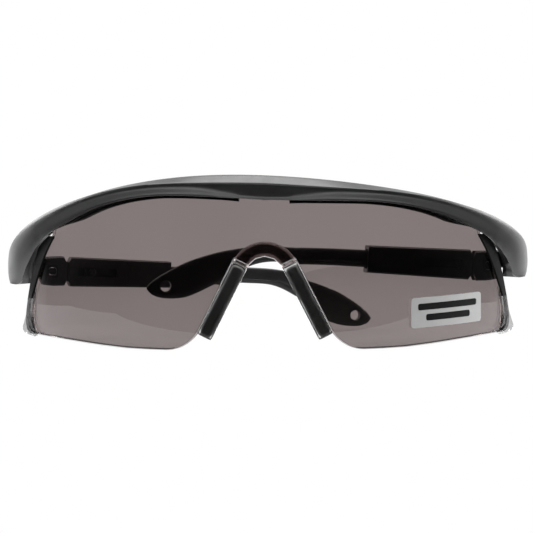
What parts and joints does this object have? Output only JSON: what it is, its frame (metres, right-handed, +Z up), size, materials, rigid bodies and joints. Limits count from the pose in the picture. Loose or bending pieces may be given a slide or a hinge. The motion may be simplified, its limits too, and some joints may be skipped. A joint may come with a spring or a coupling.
{
  "type": "safety glasses",
  "caption": "Folded wrap-around safety glasses with a black brow bar, one smoked lens, a clear nose bridge and adjustable temples.",
  "frame": {"origin": "on the table, under the middle of the folded glasses' bounding box", "axes": "+X to the wearer's left, -Y the way the lens looks, +Z up"},
  "size_m": [0.1524, 0.0824, 0.0478],
  "materials": {
    "brow_nylon": "satin",
    "lens_smoke": "polished",
    "clear_plastic": "polished",
    "temple_nylon": "satin",
    "pad_rubber": "matte",
    "steel": "turned",
    "label_film": "satin"
  },
  "bodies": {
    "front": {"brow_bar": "brow_nylon", "lens": "lens_smoke", "lens_label": "label_film", "nose_bridge": "clear_plastic", "nose_pad_left": "pad_rubber", "nose_pad_right": "pad_rubber", "side_carrier_left": "temple_nylon", "side_carrier_right": "temple_nylon", "side_shield_left": "clear_plastic", "side_shield_right": "clear_plastic", "hinge_pin_left": "steel", "hinge_pin_right": "steel"},
    "hinge_left": {"hinge_block_left": "temple_nylon", "tilt_pin_left": "steel"},
    "sleeve_left": {"temple_sleeve_left": "temple_nylon"},
    "stem_left": {"ear_stem_left": "temple_nylon", "length_button_left": "temple_nylon"},
    "hinge_right": {"hinge_block_right": "temple_nylon", "tilt_pin_right": "steel"},
    "sleeve_right": {"temple_sleeve_right": "temple_nylon"},
    "stem_right": {"ear_stem_right": "temple_nylon", "length_button_right": "temple_nylon"}
  },
  "joints": [
    {"name": "fold_left", "type": "hinge", "parent": "front", "child": "hinge_left", "pos_m": [0.073, 0.0042, 0.0211], "axis": [0, 0, -1], "range_deg": [0, 102.5]},
    {"name": "tilt_left", "type": "hinge", "parent": "hinge_left", "child": "sleeve_left", "pos_m": [0.06324, 0.00204, 0.0211], "axis": [-0.2164, 0.9763, 0], "range_deg": [-16, 8]},
    {"name": "length_left", "type": "slide", "parent": "sleeve_left", "child": "stem_left", "axis": [-0.9739, -0.2159, 0.0698], "range_m": [0, 0.009]},
    {"name": "fold_right", "type": "hinge", "parent": "front", "child": "hinge_right", "pos_m": [-0.073, 0.0042, 0.0199], "axis": [0, 0, 1], "range_deg": [0, 75]},
    {"name": "tilt_right", "type": "hinge", "parent": "hinge_right", "child": "sleeve_right", "pos_m": [-0.06355, 0.00746, 0.0199], "axis": [0.3256, -0.9455, 0], "range_deg": [-8, 16]},
    {"name": "length_right", "type": "slide", "parent": "sleeve_right", "child": "stem_right", "axis": [0.9444, 0.3252, -0.0488], "range_m": [-0.003, 0.006]}
  ],
  "couplings": [
    {"joint": "fold_right", "follows": "fold_left", "ratio": 0.73171}
  ]
}
